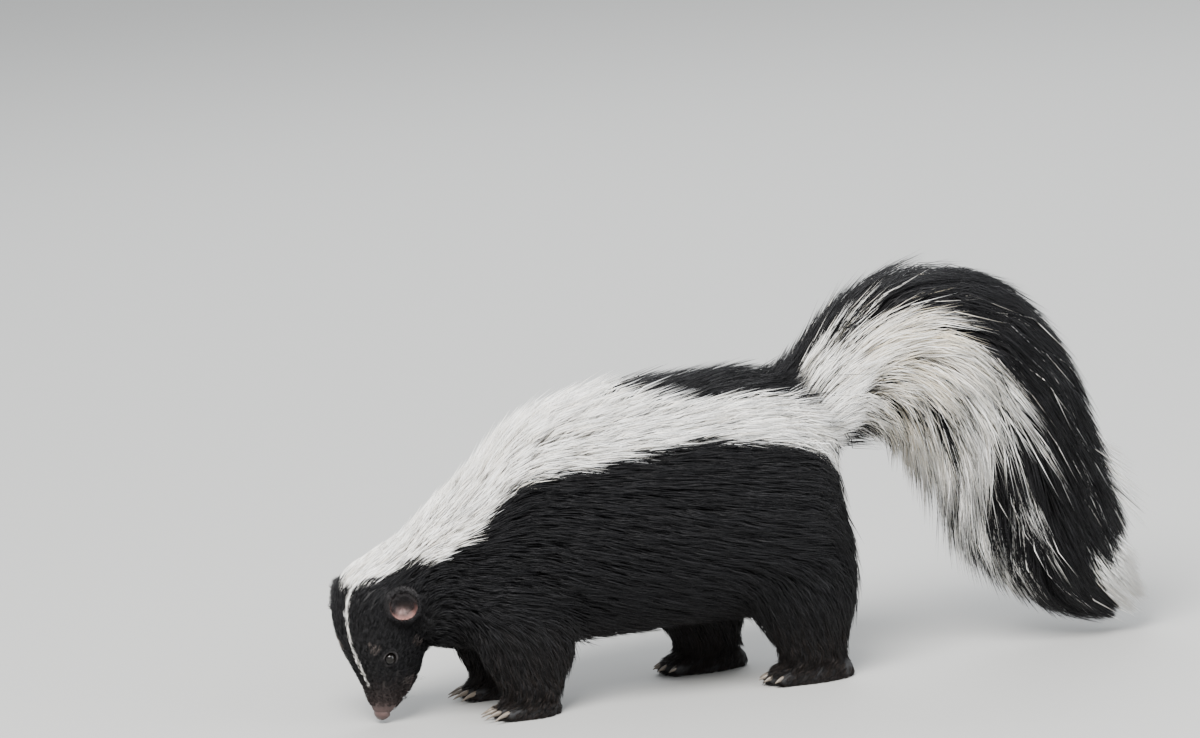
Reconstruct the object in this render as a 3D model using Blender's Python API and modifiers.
"""A life-size still model of a striped skunk that walks with its nose to the ground.

Lengths are in millimetres until the objects are finished. The head points to -X and the left side
to -Y. X is counted from the fore paws while the parts are made, and the finished model is then moved
so that the foot of its bounding box is centred on the origin.
"""

import math
import random

import bmesh
import bpy
from mathutils import Matrix, Vector
from mathutils.bvhtree import BVHTree

MM = 0.001
GAP = 0.3  # air between two nodes that meet
FAR = 900.0  # longer than the animal
CORE_SHARE = 0.5  # how much of the coat the solid core under the locks fills

# Trunk: x, top, bottom and half width of the coat's outline, and how deep the coat is on the back
TRUNK = (
    (-98, 90, 72, 8, 3),
    (-90, 100, 62, 16, 5),
    (-76, 109, 54, 23, 7),
    (-57, 119, 47, 29, 9),
    (-35, 138, 42, 39, 14),
    (-13, 154, 40, 47, 18),
    (8, 174, 39, 54, 21),
    (30, 188, 38, 59, 23),
    (55, 194, 38, 63, 25),
    (85, 197, 39, 67, 25),
    (118, 196, 40, 69, 25),
    (150, 196, 40, 70, 25),
    (178, 192, 41, 68, 24),
    (200, 178, 46, 60, 20),
    (213, 158, 58, 44, 14),
    (220, 130, 84, 20, 8),
)
PEAR = 0.10  # how much wider the trunk is low down than high up
COAT_SIDE = 0.65  # coat on the flank as a share of the coat on the back
COAT_BELLY = 0.40

# Head, from the tip of the nose: distance, shift to the brow, half height and half width
HEAD = (
    (2, 4.0, 6.0, 6.5),
    (7, 2.5, 9.5, 9.5),
    (14, -0.5, 13.3, 13.3),
    (22, -3.0, 17.5, 17.5),
    (33, -3.0, 21.6, 22.0),
    (44, -1.0, 24.0, 26.0),
    (55, 0.5, 25.5, 28.5),
    (67, 1.0, 26.0, 30.0),
    (79, 0.0, 25.5, 29.0),
    (89, -2.0, 23.0, 25.0),
    (97, -4.0, 15.0, 17.0),
    (101, -5.0, 5.0, 7.0),
)
NOSE_TIP = Vector((-77, 0, 3.5))
HEAD_TURN = 30.0  # degrees that the face turns to the left

# Legs: height, x, half length and half width of each level, from the body down to the ankle
FORE_LEG = ((84, 2, 34, 20), (62, 6, 34, 22), (44, 8, 31, 19), (28, 9, 25, 15), (16, 9, 18, 12.5), (8, 9, 13, 11))
HIND_LEG = ((100, -8, 42, 20), (76, -4, 40, 25), (56, 0, 35, 23), (38, 2, 29, 19), (24, 4, 23, 15), (12, 6, 16, 12.5))
LEG_SIDE = 33.0  # distance of the paws from the middle plane
FORE_PAW = 36.0  # length of the sole without claws
HIND_PAW = 52.0
FORE_CLAW = 11.0
HIND_CLAW = 6.0
STANCE = {"front_leg_left": 0, "front_leg_right": -9, "hind_leg_left": 182, "hind_leg_right": 128}

# Tail: x, z, radius of its core and half width, half height below and above of its brush
TAIL = (
    (196, 152, 15, 36, 28, 30),
    (214, 172, 15, 38, 34, 33),
    (235, 189, 15, 42, 46, 38),
    (260, 201, 15, 46, 66, 45),
    (288, 201, 15, 50, 84, 49),
    (314, 184, 15, 52, 88, 49),
    (334, 154, 14, 52, 86, 44),
    (346, 120, 12, 50, 84, 40),
    (354, 88, 10, 47, 68, 41),
    (361, 62, 8, 41, 50, 38),
    (370, 38, 6, 31, 32, 31),
    (388, 17, 3, 14, 12, 14),
)
HANG = Vector((-0.45, 0, -0.90))  # where the hair under the arch hangs
HANG_SHARE = 0.8
TAIL_CORES = 9  # stations of the table that the core has

# White markings: x and the angle from the top at which white meets the black flank
WHITE_EDGE = (
    (-125, 62),
    (-90, 62),
    (-57, 78),
    (-30, 80),
    (-14, 66),
    (20, 58),
    (60, 57),
    (110, 54),
    (160, 60),
    (225, 56),
)
BLACK_BACK = ((60, 0), (72, 14), (90, 24), (140, 24), (190, 26), (225, 26))  # half angle of the black back
CAP_END = 70.0  # x at which the white cap divides into two stripes
WHITE_DEPTH = 8.0  # how deep the white pieces are let into the body

EYE_RADIUS = 3.7
EYE_AT = (41.0, 9.5, 18.9)  # distance from the nose, towards the brow, to the side
EAR_AT = (73.5, 4.0, 29.0)
EAR_SIZE = (10.6, 10.2, 6.2)  # half height, half width and depth of an ear
EAR_HOLLOW = (8.4, 8.0, 6.0)
HOLLOW_OUT = 4.4  # how far the hollow lies out of the middle of the ear

BLACK = (0.012, 0.012, 0.014, 1)
WHITE = (0.80, 0.79, 0.75, 1)
SKIN_PINK = (0.42, 0.24, 0.22, 1)
NOSE_BROWN = (0.16, 0.09, 0.08, 1)
EYE_BLACK = (0.005, 0.004, 0.004, 1)


def remove_everything():
    for old in list(bpy.data.objects):
        bpy.data.objects.remove(old, do_unlink=True)


def new_collection(name):
    made = bpy.data.collections.new(name)
    bpy.context.scene.collection.children.link(made)
    return made


def fur_material(name, color, roughness):
    made = bpy.data.materials.new(name)
    made.use_nodes = True
    shader = made.node_tree.nodes["Principled BSDF"]
    shader.inputs["Base Color"].default_value = color
    shader.inputs["Roughness"].default_value = roughness
    return made


def object_from(bm, name, collection):
    bmesh.ops.recalc_face_normals(bm, faces=bm.faces)
    mesh = bpy.data.meshes.new(name)
    bm.to_mesh(mesh)
    bm.free()
    made = bpy.data.objects.new(name, mesh)
    collection.objects.link(made)
    return made


def loft(name, rings, collection):
    """A closed skin over rings that have the same number of points."""
    bm = bmesh.new()
    rows = [[bm.verts.new(point) for point in ring] for ring in rings]
    count = len(rows[0])
    for low, high in zip(rows, rows[1:]):
        for i in range(count):
            j = (i + 1) % count
            bm.faces.new((low[i], low[j], high[j], high[i]))
    bm.faces.new(rows[0])
    bm.faces.new(rows[-1])
    bmesh.ops.triangulate(bm, faces=bm.faces)
    return object_from(bm, name, collection)


def apply_modifiers(thing):
    view = bpy.context.evaluated_depsgraph_get()
    mesh = bpy.data.meshes.new_from_object(thing.evaluated_get(view))
    thing.modifiers.clear()
    thing.data = mesh
    return thing


def combine(base, others, operation):
    """One Boolean of a whole collection, after which its objects are gone."""
    if not others:
        return base
    tools = new_collection("tools")
    for other in others:
        for home in list(other.users_collection):
            home.objects.unlink(other)
        tools.objects.link(other)
    cut = base.modifiers.new("cut", "BOOLEAN")
    cut.solver = "MANIFOLD"
    cut.operation = operation
    cut.operand_type = "COLLECTION"
    cut.collection = tools
    apply_modifiers(base)
    for other in others:
        bpy.data.objects.remove(other, do_unlink=True)
    bpy.data.collections.remove(tools)
    return base


def largest_surface(thing):
    """Keeps the biggest closed surface, which drops scraps and fills sealed hollows."""
    bm = bmesh.new()
    bm.from_mesh(thing.data)
    left = set(bm.faces)
    islands = []
    while left:
        start = left.pop()
        island = [start]
        queue = [start]
        while queue:
            face = queue.pop()
            for edge in face.edges:
                for other in edge.link_faces:
                    if other in left:
                        left.remove(other)
                        island.append(other)
                        queue.append(other)
        islands.append(island)

    def volume(island):
        total = 0.0
        for face in island:
            corners = [v.co for v in face.verts]
            for b, c in zip(corners[1:], corners[2:]):
                total += corners[0].dot(b.cross(c))
        return total

    islands.sort(key=volume, reverse=True)
    for island in islands[1:]:
        bmesh.ops.delete(bm, geom=island, context="FACES")
    loose = [v for v in bm.verts if not v.link_faces]
    bmesh.ops.delete(bm, geom=loose, context="VERTS")
    bm.to_mesh(thing.data)
    bm.free()
    return thing


def clean(thing):
    """Welds the slivers that cuts leave, by as much as keeps the surface closed."""
    for reach in (0.08, 0.04, 0.02, 0.01, 0.004):
        bm = bmesh.new()
        bm.from_mesh(thing.data)
        bmesh.ops.triangulate(bm, faces=bm.faces)
        bmesh.ops.remove_doubles(bm, verts=bm.verts, dist=reach)
        bmesh.ops.dissolve_degenerate(bm, dist=reach, edges=bm.edges)
        bmesh.ops.triangulate(bm, faces=bm.faces)
        closed = all(len(edge.link_faces) == 2 for edge in bm.edges)
        fans = all(len(v.link_faces) == len(v.link_edges) for v in bm.verts)
        if closed and fans and one_fan(bm):
            bm.to_mesh(thing.data)
            bm.free()
            return
        bm.free()


def one_fan(bm):
    """Whether the faces round every vertex form one ring, so that no two sheets touch at a point."""
    for v in bm.verts:
        start = v.link_faces[0]
        seen = {start}
        queue = [start]
        while queue:
            face = queue.pop()
            for edge in face.edges:
                if v in edge.verts:
                    for other in edge.link_faces:
                        if other not in seen:
                            seen.add(other)
                            queue.append(other)
        if len(seen) != len(v.link_faces):
            return False
    return True


def copy_of(thing, name):
    made = thing.copy()
    made.data = thing.data.copy()
    made.name = name
    thing.users_collection[0].objects.link(made)
    return made


def between(table, x, column):
    """Reads a column of a table at x, smoothly, where the first column rises or falls steadily."""
    xs = [row[0] for row in table]
    ys = [row[column] for row in table]
    x = min(max(x, xs[0]), xs[-1])
    i = 0
    while i < len(xs) - 2 and x > xs[i + 1]:
        i += 1
    t = (x - xs[i]) / (xs[i + 1] - xs[i])
    return ys[i] + (ys[i + 1] - ys[i]) * t


def smooth_rows(rows, steps):
    """Catmull-Rom rows between the given ones."""
    out = []
    last = len(rows) - 1
    for i in range(last):
        before, here, after, beyond = (rows[min(max(k, 0), last)] for k in (i - 1, i, i + 1, i + 2))
        for k in range(steps):
            t = k / steps
            row = []
            for a, b, c, d in zip(before, here, after, beyond):
                slope = (c - a) * t + (2 * a - 5 * b + 4 * c - d) * t * t + (3 * b - a - 3 * c + d) * t ** 3
                row.append(b + slope / 2)
            out.append(tuple(row))
    out.append(tuple(rows[last]))
    return out


def coat_share(angle):
    """Depth of the coat round the trunk as a share of its depth on the back."""
    up = math.cos(angle)
    if up > 0:
        return COAT_SIDE + (1 - COAT_SIDE) * up
    return COAT_SIDE + (COAT_SIDE - COAT_BELLY) * up


def trunk_point(x, angle, level):
    """A point round the trunk: angle 0 is the top, positive to the left; level 0 is skin, 1 the coat's tips."""
    top, bottom, half, coat = (between(TRUNK_FINE, x, k) for k in (1, 2, 3, 4))
    middle = (top + bottom) / 2
    up, side = math.cos(angle), math.sin(angle)
    depth = coat * coat_share(angle) * (1 - level)
    height = (top - bottom) / 2
    return Vector((x, -side * (half * (1 - PEAR * up) - depth), middle + up * (height - depth)))


TRUNK_FINE = smooth_rows(TRUNK, 3)


def trunk_form(level, collection):
    rings = []
    for row in TRUNK_FINE:
        rings.append([trunk_point(row[0], math.tau * k / 36, level) for k in range(36)])
    return loft("trunk", rings, collection)


SNOUT = Vector((0, 0, -1))
BROW = Vector((-math.cos(math.radians(HEAD_TURN)), -math.sin(math.radians(HEAD_TURN)), 0))
HEAD_LEFT = BROW.cross(SNOUT)


def head_point(distance, brow, side):
    """A point in the head's own directions, from the tip of the nose."""
    return NOSE_TIP - SNOUT * distance + BROW * brow + HEAD_LEFT * side


def head_form(shrink, points, collection):
    rings = []
    for distance, shift, half_height, half_width in smooth_rows(HEAD, 2):
        ring = []
        for k in range(points):
            a = math.tau * k / points
            up = math.cos(a)
            side = math.sin(a)
            power = 0.90
            reach_up = math.copysign(abs(up) ** power, up) * (half_height - shrink)
            reach_side = math.copysign(abs(side) ** power, side) * (half_width - shrink)
            ring.append(head_point(distance, shift + reach_up, reach_side))
        rings.append(ring)
    return loft("head form", rings, collection)


def leg_form(name, table, x, side, shrink, collection):
    rings = []
    for height, shift, half_length, half_width in table:
        slim = shrink * half_length / 60
        ring = []
        for k in range(24):
            a = math.tau * k / 24
            ring.append(Vector((
                x + shift + math.cos(a) * (half_length - slim),
                side * LEG_SIDE + math.sin(a) * (half_width - slim),
                height,
            )))
        rings.append(ring)
    return loft(name, rings, collection)


def paw_form(x, side, length, collection):
    """A sole that is a little wider at the toes; its foot is cut level later."""
    rings = []
    for height, share in ((-4, 0.84), (2, 0.97), (7, 0.96), (12, 0.78), (17, 0.45)):
        ring = []
        for k in range(20):
            a = math.tau * k / 20
            forward = math.cos(a)
            width = 12.5 + 1.5 * forward
            ring.append(Vector((
                x - forward * share * length / 2 + 0.12 * height,
                side * LEG_SIDE + math.sin(a) * share * width,
                height,
            )))
        rings.append(ring)
    return loft("paw", rings, collection)


def ellipsoid(name, centre, axes, halves, segments, rows, collection):
    bm = bmesh.new()
    bmesh.ops.create_uvsphere(bm, u_segments=segments, v_segments=rows, radius=1.0)
    turn = Matrix(axes).transposed()
    for v in bm.verts:
        v.co = centre + turn @ Vector(c * h for c, h in zip(v.co, halves))
    bmesh.ops.triangulate(bm, faces=bm.faces)
    return object_from(bm, name, collection)


def claw(base, heading, length, radius, collection):
    """A horn that curves down to its point."""
    sideways = heading.cross(Vector((0, 0, 1))).normalized()
    rings = []
    for t in (0.0, 0.5, 1.0):
        middle = base + heading * (length * t) - Vector((0, 0, 1)) * (length * 0.28 * t * t)
        thick = radius * (1 - t) ** 0.8 + 0.25
        rise = sideways.cross(heading)
        ring = []
        for k in range(5):
            a = math.tau * k / 5
            ring.append(middle + sideways * (math.cos(a) * thick * 0.75) + rise * (math.sin(a) * thick))
        rings.append(ring)
    return loft("claw", rings, collection)


def toes(x, side, length, claw_length, collection):
    """Five toes that fan out at the front of a paw, each with its claw."""
    made = []
    for k in range(5):
        spread = (k - 2) / 2
        heading = Vector((-math.cos(0.36 * spread), -math.sin(0.36 * spread) * 1.0, 0))
        root = Vector((x - length * (0.46 - 0.13 * spread * spread), side * LEG_SIDE - 10.2 * spread, 4.6))
        axes = (heading, Vector((-heading.y, heading.x, 0)), Vector((0, 0, 1)))
        made.append(ellipsoid("toe", root, axes, (8.5, 3.0, 4.6), 6, 4, collection))
        made.append(claw(root + heading * 5.0 + Vector((0, 0, 1.0)), heading, claw_length, 1.7, collection))
    return made


def tail_frame(rows, i):
    here, ahead, behind = rows[i], rows[min(i + 1, len(rows) - 1)], rows[max(i - 1, 0)]
    along = Vector((ahead[0] - behind[0], 0, ahead[1] - behind[1])).normalized()
    outward = Vector((-along.z, 0, along.x))
    return Vector((here[0], 0, here[1])), along, outward


TAIL_FINE = smooth_rows(TAIL, 3)


def tail_form(full, collection):
    """The brush out to its tips, or only the core that its hair grows from."""
    rings = []
    rows = TAIL_FINE if full else TAIL_FINE[:TAIL_CORES * 3 + 1]
    for i, row in enumerate(rows):
        middle, along, outward = tail_frame(TAIL_FINE, i)
        ring = []
        for k in range(28):
            a = math.tau * k / 28
            up, side = math.cos(a), math.sin(a)
            if full:
                hanging = (HANG * HANG_SHARE - outward * (1 - HANG_SHARE / 2)).normalized()
                reach = outward * (up * row[5]) if up > 0 else hanging * (-up * row[4])
                ring.append(middle + reach + Vector((0, -side * row[3], 0)))
            else:
                ring.append(middle + outward * (up * row[2]) + Vector((0, -side * row[2], 0)))
        rings.append(ring)
    return loft("tail", rings, collection)


def melt(parts, name, voxel, rounds, collection):
    """Joins closed forms into one smooth surface."""
    bm = bmesh.new()
    for part in parts:
        bm.from_mesh(part.data)
        bpy.data.objects.remove(part, do_unlink=True)
    whole = object_from(bm, name, collection)
    remesh = whole.modifiers.new("remesh", "REMESH")
    remesh.mode = "VOXEL"
    remesh.voxel_size = voxel
    soften = whole.modifiers.new("soften", "SMOOTH")
    soften.factor = 0.5
    soften.iterations = rounds
    return apply_modifiers(whole)


def thin(thing, triangles):
    """Fewer faces, spent where the form bends."""
    tri = thing.modifiers.new("triangles", "TRIANGULATE")
    tri.min_vertices = 4
    apply_modifiers(thing)
    fewer = thing.modifiers.new("fewer", "DECIMATE")
    fewer.ratio = triangles / len(thing.data.polygons)
    return apply_modifiers(thing)


def tail_row(s):
    """The tail's numbers at a place between two of its fine stations."""
    s = min(max(s, 0.0), len(TAIL_FINE) - 1.001)
    i = int(s)
    t = s - i
    return [a + (b - a) * t for a, b in zip(TAIL_FINE[i], TAIL_FINE[i + 1])]


def tail_point(s, angle, level):
    """A point of the brush: level 0 is the core's surface, 1 the tips and -1 the middle of the core."""
    row = tail_row(s)
    before, after = tail_row(s - 1), tail_row(s + 1)
    along = Vector((after[0] - before[0], 0, after[1] - before[1])).normalized()
    outward = Vector((-along.z, 0, along.x))
    hanging = (HANG * HANG_SHARE - outward * (1 - HANG_SHARE / 2)).normalized()
    up, side = math.cos(angle), math.sin(angle)
    core = row[2]
    if level < 0:
        offset = outward * up - Vector((0, side, 0))
        return Vector((row[0], 0, row[1])) + offset * core * (1 + level)
    tall = row[5] if up > 0 else row[4]
    lift = outward if up > 0 else hanging * -1
    high = lift * (up * (core + (tall - core) * level))
    return Vector((row[0], 0, row[1])) + high - Vector((0, side * (core + (row[3] - core) * level), 0))


def lock(points, outs, width, thick, collection):
    """A flat tapered lock of hair with a ridge, along points from its root to its tip."""
    bm = bmesh.new()
    rows = []
    for i, share in enumerate((0.75, 1.0, 0.68)):
        run = (points[i + 1] - points[max(i - 1, 0)]).normalized()
        across = run.cross(outs[i]).normalized()
        out = across.cross(run).normalized()
        half = across * (width * share / 2)
        rise = out * (thick * share)
        row = [bm.verts.new(points[i] + shift) for shift in (half, rise, -half)]
        rows.append(row)
    tip = bm.verts.new(points[3])
    for low, high in zip(rows, rows[1:]):
        for i in range(3):
            j = (i + 1) % 3
            bm.faces.new((low[i], low[j], high[j], high[i]))
    for i in range(3):
        bm.faces.new((rows[-1][i], rows[-1][(i + 1) % 3], tip))
    bm.faces.new(rows[0])
    bmesh.ops.triangulate(bm, faces=bm.faces)
    return object_from(bm, "lock", collection)


def lie(place):
    """Which way the coat lies at a place on the body."""
    x, y, z = place
    if x > 205 and z < 150:
        return Vector((0.25, 0, -1))
    for name in STANCE:
        front, leg_x, side = leg_place(name)
        reach = 40 if front else 46
        top = 58 if front else 74
        if z < top and y * side > 8 and abs(x - leg_x - 4) < reach:
            return Vector((0.35, 0, -1))
    if x < -45:
        return Vector((0.75, 0.25 * y / 40, 0.65)) if z > 84 else Vector((0.8, 0, 0.1))
    if z < 62:
        return Vector((1, 0, -0.35))
    if x < 15:
        return Vector((0.85, 0, -0.12 if z < 120 else 0.35))
    return Vector((1, 0, -0.22 if z < 165 else -0.03))


def lock_size(place):
    """Length, width and thickness of the body's locks, and the distance between their roots."""
    x, y, z = place
    if x < -66:
        return 28, 18, 2.8, 22
    if x < -30:
        return 38, 24, 3.2, 27
    if z < 50:
        return 34, 26, 3.2, 34
    if z < 75:
        return 44, 30, 3.6, 34
    return 58, 32, 4.2, 34


def bare(place):
    """The face, ears, shanks and feet have short hair and no locks."""
    x, y, z = place
    if z < 24:
        return True
    if x < -48 and z < 92:
        return True
    return x > 196 and z > 138


LOCK_RISE = ((0.30, 0.62), (0.36, 0.96), (0.34, 1.16))  # share of a lock's length and how far it has risen


def body_locks(core, full, collection):
    draw = random.Random(7)
    skin = BVHTree.FromPolygons([v.co for v in core.data.vertices], [p.vertices for p in core.data.polygons])
    tips = BVHTree.FromPolygons([v.co for v in full.data.vertices], [p.vertices for p in full.data.polygons])
    faces = list(core.data.polygons)
    areas = [face.area for face in faces]
    roots = []
    for face in draw.choices(faces, areas, k=14000):
        a, b, c = (core.data.vertices[i].co for i in face.vertices[:3])
        u, v = sorted((draw.random(), draw.random()))
        place = a * u + b * (v - u) + c * (1 - v)
        if bare(place):
            continue
        spacing = lock_size(place)[3]
        if all((place - other).length > spacing for other, out in roots):
            roots.append((place, Vector(face.normal)))
    made = []
    for root, out in roots:
        length, width, thick, spacing = lock_size(root)
        length *= draw.uniform(0.85, 1.15)
        width *= draw.uniform(0.9, 1.1)
        points = [root - out * 4.0]
        outs = [out]
        here = root
        sway = draw.uniform(-0.12, 0.12)
        for step, level in LOCK_RISE:
            normal = tips.find_nearest(here)[1]
            way = lie(here)
            way = way - normal * way.dot(normal)
            way = (way.normalized() + way.cross(normal).normalized() * sway).normalized()
            here = here + way * (length * step)
            outer, normal = tips.find_nearest(here)[:2]
            inner = skin.find_nearest(outer)[0]
            points.append(inner + (outer - inner) * level)
            points[-1].z = max(points[-1].z, 4.0)
            outs.append(Vector(normal))
        made.append(lock(points, outs, width, thick, collection))
    return made


def tail_locks(collection):
    draw = random.Random(11)
    made = []
    last = TAIL_CORES * 3
    row = 0
    s = 0.5
    while s < last:
        around = 8 if s < last - 5 else 6
        for k in range(around):
            angle = math.tau * (k + 0.5 * (row % 2) + draw.uniform(-0.15, 0.15)) / around
            start = s + draw.uniform(-0.6, 0.6)
            run = draw.uniform(6.0, 8.0) * (0.75 if s < 6 else 1.0)
            turn = draw.uniform(-0.12, 0.12)
            places = ((0, -0.45), (0.34, 0.46), (0.68, 1.02), (1.0, draw.uniform(1.26, 1.40)))
            points = [tail_point(start + run * t, angle + turn * t, level) for t, level in places]
            points[3].z = max(points[3].z, 4.0)
            stations = [start + run * t for t, level in places]
            outs = [tail_point(station, angle, 1) - tail_point(station, angle, -1) for station in stations]
            width = 34 * draw.uniform(0.85, 1.15) * (0.85 if s > last - 5 else 1.0)
            made.append(lock(points, [out.normalized() for out in outs], width, 4.0, collection))
        row += 1
        s += 3.4
    return made


def offset_line(points, amount):
    """Shifts an open line sideways: a positive amount moves it to the left of its run."""
    out = []
    for i, point in enumerate(points):
        before = Vector(points[max(i - 1, 0)])
        after = Vector(points[min(i + 1, len(points) - 1)])
        run = (after - before).normalized()
        out.append((point[0] - run.y * amount, point[1] + run.x * amount))
    return out


def prism(name, outline, near, far, collection):
    """An upright outline in X and Z, drawn out along Y."""
    rings = [[Vector((x, y, z)) for x, z in outline] for y in (near, far)]
    return loft(name, rings, collection)


# Where the body is parted, as lines in X and Z that run down
HEAD_CUT = ((-80, 300), (-53, 120), (-45, 85), (-38, 45), (-30, -60))
NECK_CUT = ((34, 320), (0, 172), (-16, 100), (-30, 40), (-38, -60))
RUMP_CUT = ((70, 330), (177, 198), (206, 164), (229, 138), (234, 90), (236, -60))
TAIL_CUTS = (5.5, 17.5)  # stations of the brush where its hair is parted, root from root
# Outlines of the legs as they are parted from the trunk, from each leg's own place
FORE_ARCH = ((-44, -40), (-44, 42), (-36, 62), (-18, 76), (8, 80), (30, 74), (46, 58), (52, 40), (52, -40))
HIND_ARCH_LEFT = ((-50, -40), (-50, 58), (-38, 86), (-16, 102), (10, 106), (38, 100), (60, 96), (60, -40))
HIND_ARCH_RIGHT = ((-46, -40), (-46, 56), (-34, 84), (-14, 98), (12, 100), (34, 88), (48, 62), (50, -40))
BELL_SLOPE = 3.4  # air in mm that a bell moved by one station leaves
ARCH_INNER = 14.0  # the legs are parted at this distance from the middle plane


def body_slice(name, left_line, right_line, collection):
    """The part of space between two lines that run down, each kept half a gap away."""
    left = offset_line(left_line, GAP / 2) if left_line else [(-FAR, FAR), (-FAR, -FAR)]
    right = offset_line(right_line, -GAP / 2) if right_line else [(FAR, FAR), (FAR, -FAR)]
    return prism(name, left[::-1] + right, -FAR, FAR, collection)


def brush_beyond(station, collection):
    """Space beyond a bell that opens along the hair which grows from one station of the tail."""
    rings = []
    steps = ((0, -0.96), (0, 0), (2.5, 0.42), (4.9, 0.8), (7.2, 1.02), (8.6, 1.5))
    for run, level in steps:
        rings.append([tail_point(station + run, math.tau * k / 18, level) for k in range(18)])
    ahead = tail_point(station + 9.6, 0, -1) - tail_point(station + 7.6, 0, -1)
    rings.append([point + ahead.normalized() * FAR for point in rings[-1]])
    return loft("beyond", rings, collection)


def white_band(name, start, stop, side, grow, collection):
    """Space over a white patch: side 0 is both flanks, 1 the left stripe and -1 the right one."""
    xs = [start - grow] + [x for x in range(-98, 240, 22) if start + 9 < x < stop - 9] + [stop + grow]
    rings = []
    for x in xs:
        edge = math.radians(between(WHITE_EDGE, x, 1)) + grow / 50
        inner_edge = math.radians(between(BLACK_BACK, x, 1)) - grow / 60 if side else -edge
        if side:
            inner_edge = max(inner_edge, GAP / 2 / 70 - (grow / 60 if grow else 0))
        steps = 3 if side else 6
        angles = [inner_edge + (edge - inner_edge) * k / steps for k in range(steps + 1)]
        if side < 0:
            angles = [-a for a in angles]
        here = min(max(x, TRUNK[0][0]), TRUNK[-1][0])
        outer = []
        inner = []
        for a in angles:
            surface = trunk_point(here, a, 0.5)
            middle = Vector((here, 0, (between(TRUNK_FINE, here, 1) + between(TRUNK_FINE, here, 2)) / 2))
            ray = (surface - middle)
            deep = min(WHITE_DEPTH + grow, ray.length * 0.6)
            low = middle + ray.normalized() * (ray.length - deep)
            high = middle + ray.normalized() * (ray.length + 70)
            inner.append(Vector((x, low.y, low.z)))
            outer.append(Vector((x, high.y, high.z)))
        rings.append(outer + inner[::-1])
    return loft(name, rings, collection)


def ear_axes(side):
    """Up the head, along the ear's rim and out of the head, for one ear."""
    out = (HEAD_LEFT * side + BROW * 0.55 + Vector((0, 0, 0.25))).normalized()
    rise = (-SNOUT - out * (-SNOUT).dot(out)).normalized()
    return rise, out.cross(rise), out


def ear_form(name, side, grow, collection):
    """A round cup; grown, it is the bed that the head keeps for it."""
    rise, along, out = ear_axes(side)
    centre = head_point(EAR_AT[0], EAR_AT[1], EAR_AT[2] * side)
    halves = [half + grow for half in EAR_SIZE]
    cup = ellipsoid(name, centre, (rise, along, out), halves, 14, 8, collection)
    if grow:
        return cup
    hollow_at = centre + out * HOLLOW_OUT - rise
    hollow = ellipsoid("hollow", hollow_at, (rise, along, out), EAR_HOLLOW, 12, 7, collection)
    return combine(cup, [hollow], "DIFFERENCE")


def eye_centre(side):
    return head_point(EYE_AT[0], EYE_AT[1], EYE_AT[2] * side)


def eye_ball(name, side, grow, collection):
    axes = (BROW, HEAD_LEFT, -SNOUT)
    halves = [EYE_RADIUS + grow] * 3
    return ellipsoid(name, eye_centre(side), axes, halves, 10, 7, collection)


def lids(side, collection):
    """Two soft folds round the eye, drawn out to its corners."""
    out = (HEAD_LEFT * side + BROW * 0.35).normalized()
    forward = (SNOUT - out * SNOUT.dot(out)).normalized()
    rise = out.cross(forward) * side
    centre = eye_centre(side) + out * 1.5
    rings = []
    for k in range(12):
        a = math.tau * k / 12
        corner = 1 + 0.22 * abs(math.cos(a)) ** 3
        spoke = forward * (math.cos(a) * corner * 4.1) + rise * (math.sin(a) * 3.5)
        outward = spoke.normalized()
        ring = []
        for j in range(5):
            b = math.tau * j / 5
            ring.append(centre + spoke + outward * (math.cos(b) * 1.5) + out * (math.sin(b) * 1.7))
        rings.append(ring)
    bm = bmesh.new()
    rows = [[bm.verts.new(point) for point in ring] for ring in rings]
    for low, high in zip(rows, rows[1:] + rows[:1]):
        for j in range(5):
            n = (j + 1) % 5
            bm.faces.new((low[j], low[n], high[n], high[j]))
    bmesh.ops.triangulate(bm, faces=bm.faces)
    return object_from(bm, "lids", collection)


NOSE_AT = (3.2, 4.6, 0.0)
NOSE_HALVES = (4.6, 5.6, 4.4)  # towards the brow, to the side, along the snout


def nose_form(name, grow, collection):
    axes = (BROW, HEAD_LEFT, -SNOUT)
    pad = ellipsoid(name, head_point(*NOSE_AT), axes, [h + grow for h in NOSE_HALVES], 12, 7, collection)
    if grow:
        return pad
    holes = []
    for side in (-1, 1):
        place = head_point(NOSE_AT[0] - 3.4, NOSE_AT[1] - 0.2, 2.7 * side)
        holes.append(ellipsoid("nostril", place, axes, (1.1, 1.2, 1.9), 8, 5, collection))
    return combine(pad, holes, "DIFFERENCE")


def mouth_cut(collection):
    """The line of the mouth: a thin bowed sheet outside a core that it leaves whole."""
    rings = []
    for distance in (-6, 4, 12, 20, 27):
        sag = -6.0 - 0.004 * distance * distance
        ring = []
        for side in (-30, 30):
            for offset in ((-0.45, 0.45) if side < 0 else (0.45, -0.45)):
                ring.append(head_point(distance, sag + offset, side))
        rings.append(ring)
    sheet = loft("mouth", rings, collection)
    core = head_form(2.2, 16, collection)
    return combine(sheet, [core], "DIFFERENCE")


def lips(collection):
    """Full edges along the mouth, which its line then parts."""
    rings = []
    for distance, shift, half_height, half_width in smooth_rows(HEAD[:5], 2):
        if distance > 27:
            break
        sag = -6.0 - 0.004 * distance * distance
        drop = min(max((sag - shift) / half_height, -1), 1)
        reach = math.sqrt(max(1 - drop * drop, 0.05)) * half_width
        rings.append((distance, sag, reach))
    made = []
    for side in (-1, 1):
        tube = []
        for distance, sag, reach in rings:
            ring = []
            for k in range(6):
                a = math.tau * k / 6
                ring.append(head_point(distance, sag + math.sin(a) * 2.3, side * (reach - 0.4 + math.cos(a) * 1.1)))
            tube.append(ring)
        made.append(loft("lip", tube, collection))
    return made


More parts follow.
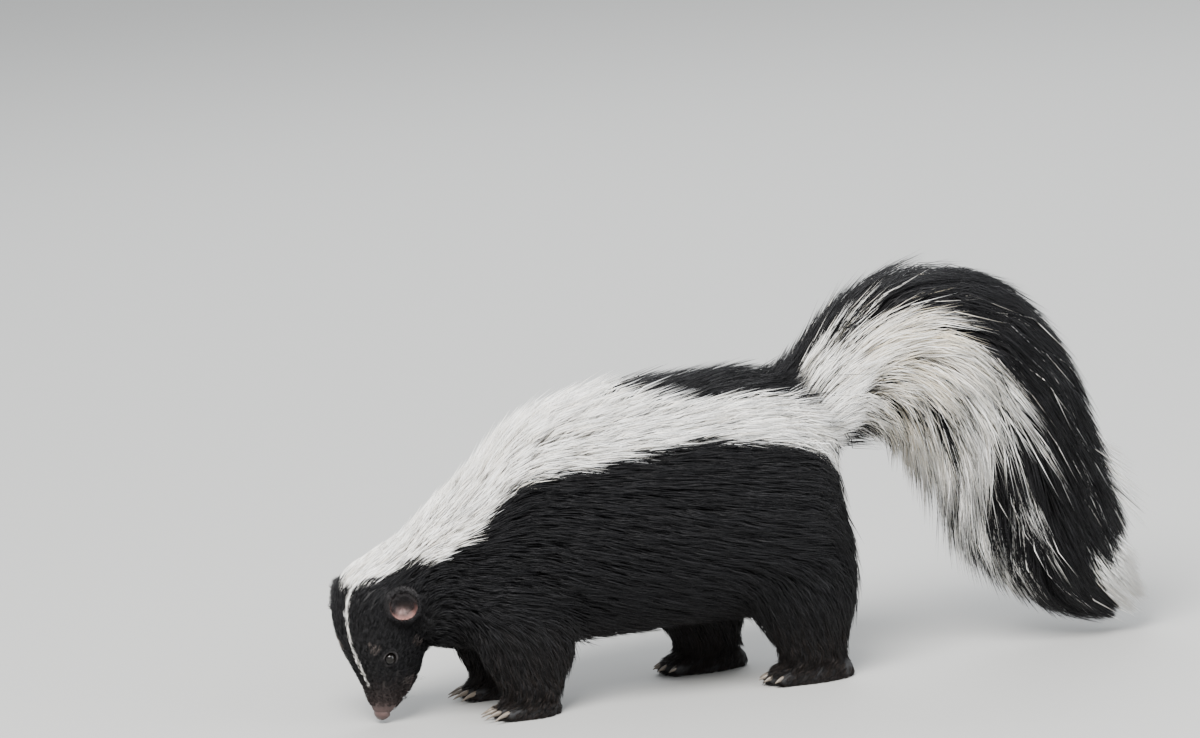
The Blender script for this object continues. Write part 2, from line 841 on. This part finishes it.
def place_on_ground(things):
    """Centres the foot of the bounding box on the origin and turns millimetres into metres."""
    lows = [min(v.co[i] for t in things for v in t.data.vertices) for i in range(3)]
    highs = [max(v.co[i] for t in things for v in t.data.vertices) for i in range(3)]
    middle = Vector(((lows[0] + highs[0]) / 2, (lows[1] + highs[1]) / 2, 0))
    for thing in things:
        for v in thing.data.vertices:
            v.co = (v.co - middle) * MM
        thing.data.update()


def leg_place(name):
    front = name.startswith("front")
    return front, STANCE[name], -1 if name.endswith("left") else 1


def leg_region(name, grow, collection):
    front, x, side = leg_place(name)
    if front:
        arch = FORE_ARCH
    else:
        arch = HIND_ARCH_LEFT if side < 0 else HIND_ARCH_RIGHT
    outline = offset_line([(x + a, b) for a, b in arch], grow)
    return prism(name + " region", outline, side * (ARCH_INNER - grow), side * FAR, collection)


def build():
    remove_everything()
    collection = new_collection("striped skunk")
    feet = []

    def animal(full, voxel):
        level = 1.0 if full else CORE_SHARE
        forms = [trunk_form(level, collection), head_form(0.8, 32, collection), tail_form(full, collection)]
        for name in STANCE:
            front, x, side = leg_place(name)
            forms.append(leg_form(name, FORE_LEG if front else HIND_LEG, x, side, 0 if full else 7, collection))
            middle = x + (8 if front else 4)
            forms.append(paw_form(middle, side, FORE_PAW if front else HIND_PAW, collection))
        return melt(forms, "whole", voxel, 8, collection)

    for name in STANCE:
        front, x, side = leg_place(name)
        length, nail = (FORE_PAW, FORE_CLAW) if front else (HIND_PAW, HIND_CLAW)
        feet.append((name, toes(x + (8 if front else 4), side, length, nail, collection)))
    whole = thin(animal(False, 2.2), 2600)
    outline = thin(animal(True, 3.5), 6000)
    hair = body_locks(whole, outline, collection) + tail_locks(collection)
    combine(whole, hair, "UNION")
    whole = melt([whole], "whole", 1.7, 2, collection)
    thin(whole, 7700)
    bpy.data.objects.remove(outline, do_unlink=True)

    def cap(grow):
        return white_band("cap", -125, CAP_END, 0, grow, collection)

    def stripe(side, grow):
        return white_band("stripe", CAP_END + GAP, 245, side, grow, collection)

    colors = {
        "black_fur": fur_material("black_fur", BLACK, 0.55),
        "white_fur": fur_material("white_fur", WHITE, 0.65),
        "ear_skin": fur_material("ear_skin", SKIN_PINK, 0.6),
        "nose_skin": fur_material("nose_skin", NOSE_BROWN, 0.4),
        "eye_black": fur_material("eye_black", EYE_BLACK, 0.08),
    }
    made = []

    def finish(thing, name, slot):
        largest_surface(thing)
        clean(thing)
        largest_surface(thing)
        thing.name = name
        thing.data.name = name
        thing.data.materials.clear()
        thing.data.materials.append(colors[slot])
        made.append(thing)

    floor = prism("floor", [(-FAR, 0), (-FAR, -FAR), (FAR, -FAR), (FAR, 0)], -FAR, FAR, collection)
    combine(whole, [floor], "DIFFERENCE")

    head = copy_of(whole, "head")
    combine(head, lips(collection) + [lids(-1, collection), lids(1, collection)], "UNION")
    combine(head, [body_slice("front", None, HEAD_CUT, collection)], "INTERSECT")
    head_cuts = [cap(GAP), mouth_cut(collection)]
    head_cuts += [nose_form("bed", GAP, collection)]
    head_cuts += [ear_form("bed", side, GAP, collection) for side in (-1, 1)]
    head_cuts += [eye_ball("socket", side, GAP, collection) for side in (-1, 1)]
    finish(combine(head, head_cuts, "DIFFERENCE"), "head", "black_fur")
    finish(nose_form("nose", 0, collection), "nose", "nose_skin")
    for side, word in ((-1, "right"), (1, "left")):
        finish(ear_form("ear", side, 0, collection), "ear_" + word, "ear_skin")
        finish(eye_ball("eye", side, 0, collection), "eye_" + word, "eye_black")

    neck = combine(copy_of(whole, "neck"), [body_slice("neck", HEAD_CUT, NECK_CUT, collection)], "INTERSECT")
    legs_out = [leg_region(name, GAP, collection) for name in STANCE if name.startswith("front")]
    finish(combine(neck, [cap(GAP)] + legs_out, "DIFFERENCE"), "neck", "black_fur")

    torso = combine(copy_of(whole, "torso"), [body_slice("torso", NECK_CUT, RUMP_CUT, collection)], "INTERSECT")
    out = [cap(GAP), stripe(-1, GAP), stripe(1, GAP)]
    out += [leg_region(name, GAP, collection) for name in STANCE]
    finish(combine(torso, out, "DIFFERENCE"), "torso", "black_fur")

    white = combine(copy_of(whole, "cap"), [cap(0)], "INTERSECT")
    ears_out = [ear_form("bed", side, GAP, collection) for side in (-1, 1)]
    finish(combine(white, ears_out, "DIFFERENCE"), "white_cap", "white_fur")
    for side, word in ((-1, "right"), (1, "left")):
        piece = combine(copy_of(whole, "stripe"), [stripe(side, 0)], "INTERSECT")
        trunk_only = body_slice("trunk side", None, RUMP_CUT, collection)
        finish(combine(piece, [trunk_only], "INTERSECT"), "white_stripe_" + word, "white_fur")

    for name, toe_parts in feet:
        leg = combine(copy_of(whole, name), [leg_region(name, 0, collection)], "INTERSECT")
        combine(leg, [body_slice("trunk side", HEAD_CUT, RUMP_CUT, collection)], "INTERSECT")
        combine(leg, toe_parts, "UNION")
        flat = prism("floor", [(-FAR, 0), (-FAR, -FAR), (FAR, -FAR), (FAR, 0)], -FAR, FAR, collection)
        finish(combine(leg, [flat], "DIFFERENCE"), name, "black_fur")

    part_by = GAP / 2 / BELL_SLOPE
    for index, name in enumerate(("tail_base", "tail_middle", "tail_tip")):
        if index == 0:
            inside = body_slice("tail side", RUMP_CUT, None, collection)
        else:
            inside = brush_beyond(TAIL_CUTS[index - 1] + part_by, collection)
        piece = combine(copy_of(whole, name), [inside], "INTERSECT")
        if index < len(TAIL_CUTS):
            combine(piece, [brush_beyond(TAIL_CUTS[index] - part_by, collection)], "DIFFERENCE")
        finish(piece, name, "black_fur")

    bpy.data.objects.remove(whole, do_unlink=True)
    place_on_ground(made)
    for thing in made:
        thing.data.shade_smooth()
        thing.data.set_sharp_from_angle(angle=math.radians(40))


build()
